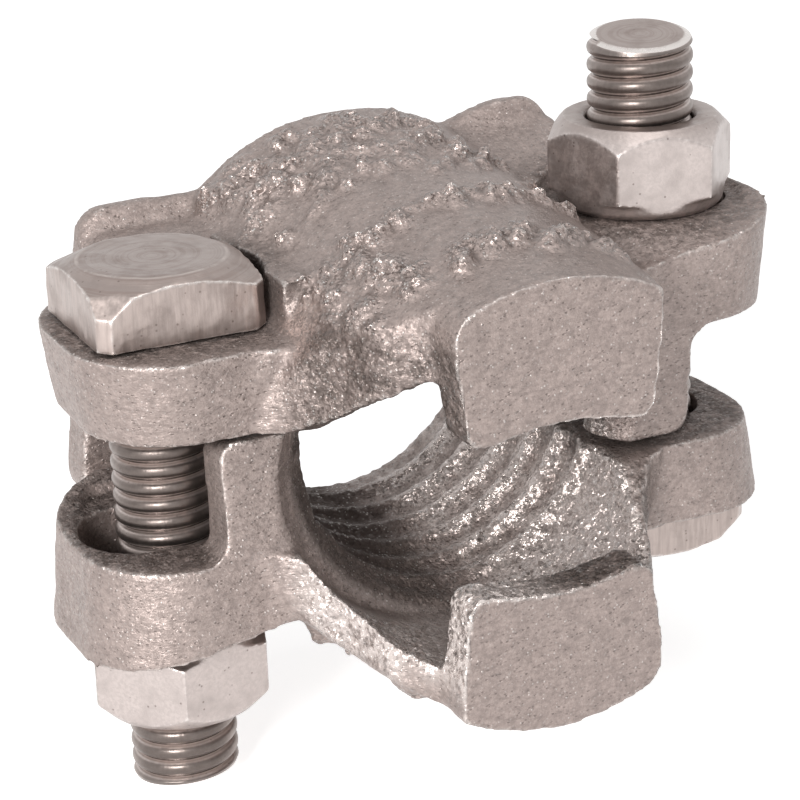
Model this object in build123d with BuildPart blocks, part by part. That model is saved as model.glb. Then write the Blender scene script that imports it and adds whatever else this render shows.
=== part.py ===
"""Two-bolt interlocking hose clamp: two identical cast halves, two square-head bolts, two hex nuts.

Frame: the hose axis is Y, with the gripping fingers at -Y and the hose leaving towards +Y.
X runs from bolt to bolt, Z is up, and the origin is on the hose axis midway between the bolts.
Half a turn about Y carries each half, bolt and nut onto its twin. Lengths are millimetres.
"""
import os
from math import atan2, degrees, radians, sqrt, tan
from build123d import *

os.makedirs("parts", exist_ok=True)

# ---------------------------------------------------------------- driving sizes
bolt_x = 27.15            # hose axis to each bolt axis
thread_d = 11.1           # 7/16 in thread, major diameter
hose_r = 15.9             # ridge crests: a hose 1 1/4 in over its cover
front_y = -32.8           # front face of the gripping finger
rear_y = 22.0             # rear face of the saddle

# saddle: the tapered half sleeve, its outside set off towards the nut side and up at the rear
crown_front_r = 22.6
crown_rear_r = 24.9
crown_rear_at = (2.2, 1.35)
ridge_h = 0.9             # ridge crest above the groove between ridges
ridge_pitch = 5.0
ridge_n = 6
ridge_first_y = -8.0      # crest of the foremost ridge
ridge_root = 3.0          # width of a ridge at its foot and along its crest
ridge_crest = 1.0
mouth_shift = 3.0         # the mouth is opened towards the nut side by this much
mouth_r = 17.6
mouth_y = -13.0           # the opened mouth starts to close in here
mouth_end = 4.2           # and has closed after this length

# lugs: head side at -X, nut side at +X
lug_front_y = -14.3
lug_back_y = 13.6
lug_corner_r = 10.5
head_lug_reach = 10.8     # bolt axis to the end of the lug
head_lug_z = 4.9          # inner face of the lug
head_lug_draft = 8.5      # degrees
head_seat_z = 13.8        # seat of the square head
nut_lug_reach = 11.7
nut_lug_z = 7.4
nut_lug_draft = 5.5
nut_seat_z = 17.6         # seat of the nut
nut_lug_climb = 0.18      # the lug's outer face climbs this much per mm outwards
nut_lug_level = 7.0       # and is level with the seat this far outside the bolt axis
collar_z = 4.3            # lowest edge of the collar behind the bolt
collar_wall = 4.0         # outside of the lug to the hollow round the bolt

# rear wings with a lip along their rear edge, and the skirt that laps past the other half
head_wing_x = 28.0
head_wing_z = 17.8
head_lip_z = 19.9
head_wing_front_y = 9.6
nut_wing_x = 27.0
nut_wing_z = 22.7
nut_lip_z = 25.0
nut_lip_dip = 1.7         # the lip falls by this much where it meets the crown
nut_wing_front_y = 1.0    # foot of the slope in front of the nut-side wing
nut_wing_foot_z = 17.2
lip_len = 3.6             # length of the lip, and of the slope at its front
lip_slope = 1.6
wing_corner_r = 3.4
skirt_y = 16.2            # front of the skirt
skirt_z = -12.0           # lowest edge of the skirt
skirt_flare = 3.4         # the outer face leans out by this much from the lip to the skirt's foot
skirt_gap = 1.4           # air between a skirt and the other half's wing
skirt_room = 2.5          # the room for the other half's skirt starts this far inside the hose's side

# stop beside the square head, and the spot face round the nut
stop_z = 18.9
stop_front_y = -10.2
stop_gap = 0.6
head_round_gap = 1.8      # the stop is hollowed to this much beyond the flats
nut_boss_r = 9.2
nut_spot_gap = 0.8        # air between the nut's corners and the spot face's wall

# plan of the shoulders from each lug's front wall in to the finger (distance from the hose axis, y)
head_sweep = [(23.0, -13.5), (18.8, -16.2), (16.2, -20.0), (14.2, -25.0)]
nut_sweep = [(22.6, -13.6), (18.4, -16.2), (16.0, -19.8), (14.6, -25.0)]
sweep_out_x = 31.0        # the sweeps leave the lugs' front walls here
shoulder_z = 15.5         # height the shoulders' lower edges rise to at the finger

# front tongue on the nut side, reaching down past the joint
tongue_x = 26.0
tongue_back_y = -7.8
tongue_z = -4.5
tongue_corner_r = 1.8
tongue_root_r = 2.4

# gripping finger
finger_w_tip = 19.4
finger_w_root = 21.8
finger_t = 4.8
finger_z = 8.3            # middle of the inner edge
finger_sag = 1.8          # the inner edge is hollowed by this much
finger_corner_r = 2.2
finger_crown_r = (3.4, 0.8)   # round of its outer corners, head side and nut side

# bolts and nuts
bolt_end_z = 36.0         # free end of the thread, from the hose axis plane
shank_clear = 0.05        # radial, thread to nut bore
hole_clear = 0.55         # radial, thread to the cast holes
slot_run = 3.2            # the nut-side hole runs outwards by this much
head_af = 17.4
head_h = 6.6
head_corner = 1.3
head_ring_r = 7.3         # flat turned face on top of the head
head_bevel_w = 8.0        # the bevel outside it falls by head_bevel over this width
head_bevel = 3.6
nut_af = 17.46
nut_h = 9.5
nut_face_r = 8.0          # turned face at both ends of the nut
nut_bevel_w = 4.0         # the bevel outside it falls by nut_bevel over this width
nut_bevel = 4.2
nut_turn = -13.0          # degrees the nut has come to rest at
tip_bevel = 0.9
sink_depth = 0.9          # countersink at both mouths of the nut

thread_r = thread_d / 2
groove_r = hose_r + ridge_h
head_top_z = head_seat_z + head_h
head_lug_x = bolt_x + head_lug_reach
nut_lug_x = bolt_x + nut_lug_reach
nut_lug_top = nut_seat_z + nut_lug_climb * (nut_lug_reach - nut_lug_level)
stop_x = -bolt_x + head_af / 2 + stop_gap
finger_back_y = front_y + finger_t
big = 120.0               # reach of cutting shapes


def across(y):
    """Plane square to the hose axis at y, drawn with X to the right and Z up."""
    return Plane(origin=(0, y, 0), x_dir=(1, 0, 0), z_dir=(0, -1, 0))


def lug_outline(side, reach):
    """Plan of a lug: a rounded end at the far side, square where it joins the saddle."""
    with BuildSketch(mode=Mode.PRIVATE) as plan:
        with BuildLine():
            Polyline((0, lug_front_y), (side * reach, lug_front_y), (side * reach, lug_back_y),
                     (0, lug_back_y), close=True)
        make_face()
        fillet(plan.vertices().sort_by(Axis.X)[:2] if side < 0 else plan.vertices().sort_by(Axis.X)[-2:],
               lug_corner_r)
    return plan.sketch


def outer_walls(lug):
    """Upright faces of a lug, apart from the one in the plane of the hose axis."""
    return lug.faces().filter_by(lambda f: abs(f.normal_at().Z) < 0.01 and abs(f.center().X) > 1)


def head_wing(top, foot):
    """Section of the head-side wing or skirt between two heights, its outer face leaning out downwards."""
    lean = skirt_flare / (head_lip_z - skirt_z)
    with BuildSketch(mode=Mode.PRIVATE) as section:
        with BuildLine():
            Polyline((-hose_r / 2, foot), (-hose_r / 2, top), (-head_wing_x - lean * (head_lip_z - top), top),
                     (-head_wing_x - lean * (head_lip_z - foot), foot), close=True)
        make_face()
        outer = section.vertices().sort_by(Axis.X)[:2]
        fillet(outer if foot < 0 else outer.sort_by(Axis.Y)[-1], wing_corner_r)
    return section.sketch


def nut_wing(top, dip):
    """Section of the nut-side wing, its crest falling by dip where it runs into the crown."""
    inner, peak = hose_r / 2, nut_wing_x - 1.6 * wing_corner_r
    with BuildSketch(mode=Mode.PRIVATE) as section:
        with BuildLine():
            crest = Spline((inner, top - dip), ((inner + peak) / 2, top - dip), (peak, top),
                           tangents=((1, 0), (1, 0)))
            Polyline(crest @ 1, (nut_wing_x, top), (nut_wing_x, nut_lug_z), (inner, nut_lug_z), crest @ 0)
        make_face()
        fillet(section.vertices().sort_by(Axis.X)[-2:].sort_by(Axis.Y)[-1], wing_corner_r)
    return section.sketch


# ---------------------------------------------------------------- drafted lugs of a cast half
with BuildPart() as head_lug:
    with BuildSketch(Plane.XY.offset(head_seat_z)):
        add(lug_outline(-1, head_lug_x))
    extrude(amount=-(head_seat_z - head_lug_z))
    draft(outer_walls(head_lug), Plane.XY.offset(head_seat_z), -head_lug_draft)

# the nut-side lug's outer face climbs outwards
with BuildPart() as nut_lug:
    with BuildSketch(Plane.XY.offset(nut_lug_top)):
        add(lug_outline(1, nut_lug_x))
    extrude(amount=-(nut_lug_top - collar_z))
    draft(outer_walls(nut_lug), Plane.XY.offset(nut_lug_top), -nut_lug_draft)
    with BuildSketch(Plane.XZ.offset(-big)):
        with BuildLine():
            Polyline((0, nut_lug_top - nut_lug_climb * nut_lug_x), (nut_lug_x, nut_lug_top),
                     (nut_lug_x, big), (0, big), close=True)
        make_face()
    extrude(amount=2 * big, mode=Mode.SUBTRACT)
    # it is hollowed to its inner face, leaving a collar that rises behind the bolt
    with BuildSketch(Plane.YZ):
        with BuildLine():
            TangentArc((0, nut_lug_z), (lug_back_y + 1, collar_z), tangent=(1, 0))
            Polyline((lug_back_y + 1, collar_z), (lug_back_y + 1, -big), (lug_front_y - 8, -big),
                     (lug_front_y - 8, nut_lug_z), (0, nut_lug_z))
        make_face()
    extrude(amount=big, mode=Mode.SUBTRACT)
    with BuildSketch(Plane.XY.offset(nut_lug_z)):
        add(lug_outline(1, nut_lug_x - collar_wall))
        with Locations((0, lug_back_y - collar_wall)):
            Rectangle(big, big, align=(Align.CENTER, Align.MIN), mode=Mode.SUBTRACT)
    extrude(amount=-nut_lug_z, mode=Mode.SUBTRACT)

# ---------------------------------------------------------------- tapered sleeve of a cast half
with BuildPart() as sleeve:
    run = Vector(crown_rear_at[0], rear_y - finger_back_y, crown_rear_at[1])
    spare = 0.05              # share of its length that is cut off square at each end
    with BuildSketch(Plane(origin=Vector(0, finger_back_y, 0) - run * spare, z_dir=run)):
        Circle(crown_front_r - (crown_rear_r - crown_front_r) * spare)
    extrude(amount=run.length * (1 + 2 * spare),
            taper=-degrees(atan2(crown_rear_r - crown_front_r, run.length)))
    split(bisect_by=across(finger_back_y), keep=Keep.BOTTOM)
    split(bisect_by=across(rear_y), keep=Keep.TOP)
    # cut off at the inner face of each lug
    with BuildSketch(across(front_y)):
        with Locations((0, head_lug_z)):
            Rectangle(big, big, align=(Align.MAX, Align.MAX))
        with Locations((0, nut_lug_z)):
            Rectangle(big, big, align=(Align.MIN, Align.MAX))
    extrude(amount=-big, mode=Mode.SUBTRACT)

# ---------------------------------------------------------------- cast half (upper)
with BuildPart() as upper_half:
    add(nut_lug.part)
    add(head_lug.part)
    add(sleeve.part)

    # head-side wing and its lip
    with BuildSketch(across(rear_y)):
        add(head_wing(head_wing_z, head_lug_z))
    extrude(amount=rear_y - head_wing_front_y)
    with BuildSketch(across(rear_y - lip_len + lip_slope)):
        add(head_wing(head_lip_z, head_lug_z))
    with BuildSketch(across(rear_y - lip_len)):
        add(head_wing(head_wing_z, head_lug_z))
    loft()
    with BuildSketch(across(rear_y)):
        add(head_wing(head_lip_z, head_lug_z))
    extrude(amount=lip_len - lip_slope)

    # nut-side wing, sloping down to the lug in front, and its lip
    with BuildSketch(Plane.YZ.offset(hose_r / 2)):
        with BuildLine():
            Polyline((rear_y, nut_lug_z), (rear_y, nut_wing_z), (rear_y - lip_len, nut_wing_z),
                     (nut_wing_front_y, nut_wing_foot_z), (nut_wing_front_y, nut_lug_z), close=True)
        make_face()
    extrude(amount=nut_wing_x - hose_r / 2)
    with BuildSketch(across(rear_y - lip_len + lip_slope)):
        add(nut_wing(nut_lip_z, nut_lip_dip))
    with BuildSketch(across(rear_y - lip_len)):
        add(nut_wing(nut_wing_z, nut_lip_dip / 4))
    loft()
    with BuildSketch(across(rear_y)):
        add(nut_wing(nut_lip_z, nut_lip_dip))
    extrude(amount=lip_len - lip_slope)

    # skirt under the head-side wing, and room for the other half's skirt under the nut-side one
    with BuildSketch(across(rear_y)):
        add(head_wing(head_wing_z, skirt_z))
        with Locations((-hose_r / 2, skirt_z)):
            Rectangle(hose_r / 2 - 4, head_lug_z - skirt_z, align=(Align.MIN, Align.MIN))
    extrude(amount=rear_y - skirt_y)
    with BuildSketch(across(rear_y)):
        with Locations((hose_r - skirt_room, -skirt_z + skirt_gap)):
            Rectangle(big, big, align=(Align.MIN, Align.MAX))
    extrude(amount=rear_y - skirt_y + skirt_gap, mode=Mode.SUBTRACT)

    # stop beside the square head, boss under the nut
    with BuildSketch(Plane.XY.offset(head_lug_z)):
        with Locations((stop_x, stop_front_y)):
            Rectangle(-stop_x, head_wing_front_y - stop_front_y, align=(Align.MIN, Align.MIN))
    extrude(amount=stop_z - head_lug_z)
    with BuildSketch(Plane.XY.offset(nut_lug_z)):
        with Locations((bolt_x, 0)):
            Circle(nut_boss_r)
    extrude(amount=nut_seat_z - nut_lug_z)

    # front tongue on the nut side, in line with the lug's front wall and rounded into its inner face
    lean_y = (nut_lug_top - nut_lug_z) * tan(radians(nut_lug_draft))
    with BuildSketch(Plane(origin=(0, lug_front_y + lean_y, nut_lug_z), x_dir=(1, 0, 0),
                           z_dir=(0, -1, -tan(radians(nut_lug_draft))))) as tongue:
        with BuildLine():
            Polyline((hose_r - 1, 2), (tongue_x + 1.1 * tongue_root_r, 2), (tongue_x + 1.1 * tongue_root_r, 0),
                     (tongue_x, 0), (tongue_x, tongue_z - nut_lug_z), (hose_r - 1, tongue_z - nut_lug_z),
                     close=True)
        make_face()
        fillet(tongue.vertices().group_by(Axis.Y)[0], tongue_corner_r)
        fillet(tongue.vertices().filter_by(lambda v: abs(v.X - tongue_x) + abs(v.Y) < 0.01), tongue_root_r)
    extrude(amount=-(tongue_back_y - lug_front_y - lean_y))

    # front of the sleeve swept in to the finger's width, its lower edges rising on the way
    with BuildSketch(Plane.XY):
        for side, shoulder in ((-1, head_sweep), (1, nut_sweep)):
            with BuildLine():
                root_x = side * finger_w_root / 2
                sweep_in = Spline([(side * x, y) for x, y in shoulder], (root_x, finger_back_y),
                                  tangents=((-side, -0.1), (-side * 0.7, -1)))
                Polyline(sweep_in @ 1, (root_x, front_y - 1), (side * big / 2, front_y - 1),
                         (side * big / 2, lug_front_y), (side * sweep_out_x, lug_front_y), sweep_in @ 0)
            make_face()
    extrude(amount=big, mode=Mode.SUBTRACT)
    for side, z in ((-1, head_lug_z), (1, nut_lug_z)):
        with BuildSketch(Plane.YZ):
            with BuildLine():
                Polyline((lug_front_y, z), (front_y, shoulder_z), (front_y, tongue_z - 1),
                         (lug_front_y, tongue_z - 1), close=True)
            make_face()
        extrude(amount=side * big, mode=Mode.SUBTRACT)

    # bore with ridges that grip the hose
    with BuildSketch(Plane.XY) as bore:
        with Locations((0, front_y - 1)):
            Rectangle(groove_r, rear_y - front_y + 2, align=(Align.MIN, Align.MIN))
        for n in range(ridge_n):
            with Locations((groove_r, ridge_first_y + n * ridge_pitch)):
                Polygon((0, -ridge_root / 2), (-ridge_h, -ridge_crest / 2), (-ridge_h, ridge_crest / 2),
                        (0, ridge_root / 2), align=None, mode=Mode.SUBTRACT)
    revolve(axis=Axis.Y, mode=Mode.SUBTRACT)
    # below the hose axis the skirt and tongue stand clear, so that a half goes on from the side
    with BuildSketch(Plane.XY):
        with Locations((0, front_y)):
            Rectangle(2 * hose_r, rear_y - front_y, align=(Align.CENTER, Align.MIN))
    extrude(amount=-big, mode=Mode.SUBTRACT)
    # mouth opened towards the nut side, closing in to the bore
    with BuildSketch(across(front_y - 1)):
        with Locations((mouth_shift, 0)):
            Circle(mouth_r)
    extrude(amount=-(mouth_y - front_y + 1), mode=Mode.SUBTRACT)
    with BuildSketch(across(mouth_y)):
        with Locations((mouth_shift, 0)):
            Circle(mouth_r)
    extrude(amount=-mouth_end, taper=45, mode=Mode.SUBTRACT)

    # gripping finger: a plate turned in from the crown, its inner edge hollowed
    with BuildSketch(across(front_y)) as finger:
        with BuildLine():
            ThreePointArc((-finger_w_tip / 2, finger_z - finger_sag), (0, finger_z),
                          (finger_w_tip / 2, finger_z - finger_sag))
            Line((finger_w_tip / 2, finger_z - finger_sag), (finger_w_root / 2, groove_r))
            Polyline((finger_w_root / 2, groove_r), (finger_w_root / 2, big), (-finger_w_root / 2, big),
                     (-finger_w_root / 2, groove_r))
            Line((-finger_w_root / 2, groove_r), (-finger_w_tip / 2, finger_z - finger_sag))
        make_face()
        fillet(finger.vertices().group_by(Axis.Y)[0], finger_corner_r)
        Circle(crown_front_r, mode=Mode.INTERSECT)
        for corner, r in zip((0, -1), finger_crown_r):
            on_crown = finger.vertices().filter_by(lambda v: v.Y > groove_r + 0.01).sort_by(Axis.X)
            fillet(on_crown[corner], r)
    extrude(amount=-finger_t)

    # seat for the square head against its stop, and the spot face for the nut
    with BuildSketch(Plane.XY.offset(head_seat_z)):
        with Locations((stop_x, head_wing_front_y)):
            Rectangle(30, 40, align=(Align.MAX, Align.MAX))
        with Locations((-bolt_x, 0)):
            Circle(head_af / 2 + head_round_gap)
        with Locations((0, head_wing_front_y)):
            Rectangle(big, 20, align=(Align.CENTER, Align.MIN), mode=Mode.SUBTRACT)
    extrude(amount=20, mode=Mode.SUBTRACT)
    with BuildSketch(Plane.XY.offset(nut_seat_z)):
        with Locations((bolt_x, 0)):
            Circle(nut_af / sqrt(3) + nut_spot_gap)
    extrude(amount=20, mode=Mode.SUBTRACT)

    # bolt holes: round under the head, run outwards on the nut side
    with BuildSketch(Plane.XY):
        with Locations((-bolt_x, 0)):
            Circle(thread_r + hole_clear)
        with Locations((bolt_x + slot_run / 2, 0)):
            SlotCenterToCenter(slot_run, 2 * (thread_r + hole_clear))
    extrude(amount=big, mode=Mode.SUBTRACT)

with BuildPart() as lower_half:
    add(upper_half.part.rotate(Axis.Y, 180))

# ---------------------------------------------------------------- bolts
with BuildPart() as left_bolt:
    with BuildSketch(Plane.XY.offset(head_seat_z)) as head:
        with Locations((-bolt_x, 0)):
            Rectangle(head_af, head_af)
        chamfer(head.vertices(), head_corner)
    extrude(amount=head_h)
    # turned bevel over the top of the head
    head_edge_x = -bolt_x + head_ring_r + head_bevel_w
    with BuildSketch(Plane.XZ):
        with BuildLine():
            Polyline((-bolt_x, head_seat_z - 1), (-bolt_x, head_top_z), (-bolt_x + head_ring_r, head_top_z),
                     (head_edge_x, head_top_z - head_bevel), (head_edge_x, head_seat_z - 1), close=True)
        make_face()
    revolve(axis=Axis((-bolt_x, 0, 0), (0, 0, 1)), mode=Mode.INTERSECT)
    with BuildSketch(Plane.XY.offset(head_seat_z)):
        with Locations((-bolt_x, 0)):
            Circle(thread_r - shank_clear)
    extrude(amount=-(head_seat_z + bolt_end_z))
    chamfer(left_bolt.faces().sort_by(Axis.Z)[0].edges(), tip_bevel)

with BuildPart() as right_bolt:
    add(left_bolt.part.rotate(Axis.Y, 180))

# ---------------------------------------------------------------- nuts
with BuildPart() as right_nut:
    with BuildSketch(Plane.XY.offset(nut_seat_z)):
        with Locations((bolt_x, 0)):
            RegularPolygon(nut_af / 2, 6, major_radius=False, rotation=nut_turn)
    extrude(amount=nut_h)
    # both faces turned to a bevel
    nut_edge_x = bolt_x + nut_face_r + nut_bevel_w
    with BuildSketch(Plane.XZ):
        with BuildLine():
            Polyline((bolt_x, nut_seat_z), (bolt_x + nut_face_r, nut_seat_z),
                     (nut_edge_x, nut_seat_z + nut_bevel), (nut_edge_x, nut_seat_z + nut_h - nut_bevel),
                     (bolt_x + nut_face_r, nut_seat_z + nut_h), (bolt_x, nut_seat_z + nut_h), close=True)
        make_face()
    revolve(axis=Axis((bolt_x, 0, 0), (0, 0, 1)), mode=Mode.INTERSECT)
    with BuildSketch(Plane.XY.offset(nut_seat_z)):
        with Locations((bolt_x, 0)):
            Circle(thread_r)
    extrude(amount=nut_h, mode=Mode.SUBTRACT)
    chamfer(right_nut.edges().filter_by(GeomType.CIRCLE).filter_by(lambda e: abs(e.radius - thread_r) < 0.01),
            sink_depth)

with BuildPart() as left_nut:
    add(right_nut.part.rotate(Axis.Y, 180))

# ---------------------------------------------------------------- files
for name, piece in (("upper_half", upper_half), ("lower_half", lower_half), ("left_bolt", left_bolt),
                    ("right_bolt", right_bolt), ("left_nut", left_nut), ("right_nut", right_nut)):
    piece.part.label = name
    export_step(piece.part, f"parts/{name}.step")
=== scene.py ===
"""Two-bolt hose clamp, finished for looks: two cast halves, two square-head bolts, two hexagon nuts."""

import math

import bpy
import numpy as np
from bpy.props import FloatProperty, FloatVectorProperty, PointerProperty
from mathutils import Matrix, Vector


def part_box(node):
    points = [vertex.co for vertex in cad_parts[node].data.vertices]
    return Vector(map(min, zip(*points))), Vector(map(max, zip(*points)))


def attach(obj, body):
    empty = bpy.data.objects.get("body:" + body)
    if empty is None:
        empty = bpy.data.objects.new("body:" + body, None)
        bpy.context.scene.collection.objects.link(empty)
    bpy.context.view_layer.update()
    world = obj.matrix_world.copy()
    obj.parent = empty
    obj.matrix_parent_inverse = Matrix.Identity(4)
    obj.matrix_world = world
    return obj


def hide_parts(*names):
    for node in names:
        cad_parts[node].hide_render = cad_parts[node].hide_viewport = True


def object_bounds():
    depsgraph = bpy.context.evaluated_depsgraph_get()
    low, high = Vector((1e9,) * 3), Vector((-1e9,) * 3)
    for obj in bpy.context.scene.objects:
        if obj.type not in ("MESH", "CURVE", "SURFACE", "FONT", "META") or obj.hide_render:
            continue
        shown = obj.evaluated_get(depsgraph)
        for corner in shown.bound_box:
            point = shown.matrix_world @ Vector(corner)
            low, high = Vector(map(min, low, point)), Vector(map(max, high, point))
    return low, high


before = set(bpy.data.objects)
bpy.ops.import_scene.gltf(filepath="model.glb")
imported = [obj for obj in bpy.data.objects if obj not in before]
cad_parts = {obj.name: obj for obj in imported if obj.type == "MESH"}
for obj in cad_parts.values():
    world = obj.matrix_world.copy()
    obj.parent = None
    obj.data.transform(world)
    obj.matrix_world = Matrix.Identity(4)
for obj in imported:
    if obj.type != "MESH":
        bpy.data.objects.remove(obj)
CAD_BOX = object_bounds()

bl_info = {
    "name": "Two-bolt hose clamp",
    "version": (1, 0, 0),
    "blender": (4, 5, 0),
    "location": "View3D > Sidebar > Hose clamp",
    "description": "Models and finishes the pieces of a two-bolt hose clamp around its packed frame",
    "category": "Add Mesh",
}

MM = 0.001
BOLT_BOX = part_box("left_bolt")
NUT_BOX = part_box("right_nut")
BOLT_X = (NUT_BOX[0].x + NUT_BOX[1].x) / 2
HEAD_WIDTH = BOLT_BOX[1].x - BOLT_BOX[0].x
NUT_SEAT = NUT_BOX[0].z
NUT_TOP = NUT_BOX[1].z
HEAD_TOP = BOLT_BOX[1].z
BOLT_END = BOLT_BOX[0].z
HALF_TURN = Matrix.Rotation(math.pi, 4, "Y")  # takes each piece of one half to the other half
BACK_X, BACK_Y = 0.416, 0.909  # level direction to the back right: thread crests facing away from it get a painted dark reflection, and the bolts' ends are sheared by it
BORE_RIM = 19.0  # radius in millimetres at which the bore's scale and painted shade have died away
BORE_FRONT, BORE_MOUTH = -27.0, -22.0  # millimetres along Y over which they set in
# dark colour of dirt in the pits, and of painted shade in hollows, gaps, the bore and round the seats
DIRT_AND_SHADE = (0.085, 0.066, 0.058)

# lamps: name, place in metres, width, watts, tint
LAMPS = (("key", (-0.58, -0.54, 0.32), 0.24, 8.0, (1.0, 0.99, 0.98)),
         ("top", (0.05, -0.15, 0.85), 0.50, 1.3, (1.0, 0.99, 0.98)),
         ("right", (0.70, -0.25, 0.30), 0.45, 0.35, (1.0, 1.0, 1.0)))
CAMERA_TURN, CAMERA_RISE, CAMERA_ROLL = (math.radians(a) for a in (24.598, 20.482, -1.957))
CAMERA_RIGHT, CAMERA_UP, CAMERA_BACK = -1.219, 0.178, 263.338  # millimetres from the middle to the eye
CAMERA_LENS, CAMERA_FILM, CAMERA_NEAR = 114.57, 36.0, 0.02


# ---------------------------------------------------------------- sizes and colours a user would change
class CastingSizes(bpy.types.PropertyGroup):
    grain: FloatProperty(name="Mesh grain", description="Edge of the faces that the cast skin is modelled in",
                         default=0.425 * MM, unit="LENGTH", precision=5)
    skin: FloatProperty(name="Skin", description="Height of the cast skin's fine unevenness",
                        default=0.13 * MM, unit="LENGTH", precision=5)
    lumps: FloatProperty(name="Lumps", description="Height of the rough raised lumps on the crown",
                         default=1.5 * MM, unit="LENGTH", precision=5)
    scale: FloatProperty(name="Scale", description="Height of the coarse scale in the bore and round its mouth",
                         default=0.34 * MM, unit="LENGTH", precision=5)
    colour: FloatVectorProperty(name="Colour", description="Plated iron where it is clean", subtype="COLOR",
                                default=(0.365, 0.298, 0.275))
    # dark colour of dirt in the pits, and of painted shade in hollows, gaps, the bore and round the seats
    dirt_and_shade: FloatVectorProperty(name="Dirt and shade", description="Plated iron in its hollows", subtype="COLOR",
                               default=DIRT_AND_SHADE)


class BoltSizes(bpy.types.PropertyGroup):
    pitch: FloatProperty(name="Thread pitch", description="Length of one turn of the thread",
                         default=25.4 / 14 * MM, unit="LENGTH", precision=5)
    major: FloatProperty(name="Thread radius", description="Radius over the crests of the thread",
                         default=5.5 * MM, unit="LENGTH", precision=5)
    depth: FloatProperty(name="Thread depth", description="Crest to root of the thread",
                         default=0.74 * MM, unit="LENGTH", precision=5)
    shear: FloatProperty(name="Shear", description="Angle by which the bolt's end is out of square",
                         default=math.radians(7.0), subtype="ANGLE")
    thread_top: FloatProperty(name="Thread top", description="Height at which the thread runs out",
                              default=8.0 * MM, unit="LENGTH", precision=5)
    head_height: FloatProperty(name="Head height", description="Height of the square head",
                               default=6.6 * MM, unit="LENGTH", precision=5)
    head_corner: FloatProperty(name="Head corner", description="Width cut off each upright corner of the head",
                               default=1.3 * MM, unit="LENGTH", precision=5)
    ring: FloatProperty(name="Turned ring", description="Radius of the flat turned ring on the head",
                        default=7.3 * MM, unit="LENGTH", precision=5)
    dome: FloatProperty(name="Dome", description="Fall of the bevel outside the ring, over 8 mm",
                        default=3.6 * MM, unit="LENGTH", precision=5)
    colour: FloatVectorProperty(name="Colour", description="Plated steel of bolts", subtype="COLOR",
                                default=(0.41, 0.345, 0.32))


class NutSizes(bpy.types.PropertyGroup):
    flats: FloatProperty(name="Across flats", description="Width across two flats of the nut",
                         default=17.46 * MM, unit="LENGTH", precision=5)
    turn: FloatProperty(name="Turn", description="Angle at which the nut has come to rest",
                        default=math.radians(-13), subtype="ANGLE")
    face: FloatProperty(name="Turned face", description="Radius of the flat face at each end of the nut",
                        default=8.0 * MM, unit="LENGTH", precision=5)
    bevel: FloatProperty(name="Bevel", description="Fall of the bevel outside the face, over 4 mm",
                         default=4.2 * MM, unit="LENGTH", precision=5)
    round: FloatProperty(name="Round", description="Height of the rounded foot of the nut",
                         default=1.7 * MM, unit="LENGTH", precision=5)
    bore: FloatProperty(name="Bore", description="Radius of the hole through the nut",
                        default=5.53 * MM, unit="LENGTH", precision=5)
    sink: FloatProperty(name="Countersink", description="Depth of the countersink at each mouth",
                        default=0.45 * MM, unit="LENGTH", precision=5)
    colour: FloatVectorProperty(name="Colour", description="Plated steel of nuts", subtype="COLOR",
                                default=(0.50, 0.44, 0.42))


# ---------------------------------------------------------------- modelling by hand, in code
def clear_selection():
    """Leaves edit mode with nothing selected."""
    if bpy.context.object and bpy.context.object.mode != "OBJECT":
        bpy.ops.object.mode_set(mode="OBJECT")
    for o in bpy.context.selected_objects:
        o.select_set(False)


def take(obj):
    """Makes obj the only selected object and the active one."""
    clear_selection()
    bpy.context.view_layer.objects.active = obj
    obj.select_set(True)
    return obj


def select_faces(obj, test):
    """Edit mode with just the faces selected whose centre and normal pass the test."""
    take(obj)
    bpy.ops.object.mode_set(mode="EDIT")
    bpy.ops.mesh.select_mode(type="FACE")
    bpy.ops.mesh.select_all(action="DESELECT")
    bpy.ops.object.mode_set(mode="OBJECT")
    for face in obj.data.polygons:
        face.select = test(face.center, face.normal)
    bpy.ops.object.mode_set(mode="EDIT")


def select_edges(obj, test):
    """Edit mode with just the edges selected whose two ends pass the test."""
    take(obj)
    bpy.ops.object.mode_set(mode="EDIT")
    bpy.ops.mesh.select_mode(type="EDGE")
    bpy.ops.mesh.select_all(action="DESELECT")
    bpy.ops.object.mode_set(mode="OBJECT")
    points = obj.data.vertices
    for edge in obj.data.edges:
        edge.select = test(points[edge.vertices[0]].co, points[edge.vertices[1]].co)
    bpy.ops.object.mode_set(mode="EDIT")


def settle(obj, name=None):
    """Puts obj's place, turn and size into its mesh."""
    take(obj)
    bpy.ops.object.transform_apply(location=True, rotation=True, scale=True)
    if name:
        obj.name = obj.data.name = name
    return obj


def finish_modifier(obj, kind, **settings):
    """Adds a modifier to obj, sets it and applies it."""
    take(obj)
    modifier = obj.modifiers.new(kind.title(), kind)
    for key, value in settings.items():
        setattr(modifier, key, value)
    bpy.ops.object.modifier_apply(modifier=modifier.name)


def combine(obj, other, operation):
    """Joins, cuts or keeps the common part of two closed shapes; the other one is used up."""
    finish_modifier(obj, "BOOLEAN", object=other, operation=operation, solver="EXACT")
    bpy.data.objects.remove(other)
    return obj


def copied(obj, name, matrix=None):
    """A copy of obj with its own mesh, moved by the matrix."""
    twin = obj.copy()
    twin.data = obj.data.copy()
    twin.name = twin.data.name = name
    bpy.context.scene.collection.objects.link(twin)
    if matrix:
        twin.data.transform(matrix)
    return twin


def merged_node(node, name):
    """A copy of a CAD node's mesh with its loose triangles joined up."""
    obj = copied(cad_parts[node], name)
    obj.parent = None
    for key in list(obj.keys()):
        del obj[key]
    take(obj)
    bpy.ops.object.mode_set(mode="EDIT")
    bpy.ops.mesh.select_all(action="SELECT")
    bpy.ops.mesh.remove_doubles(threshold=0.002 * MM)
    bpy.ops.object.mode_set(mode="OBJECT")
    obj.data.materials.clear()
    return obj


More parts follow.
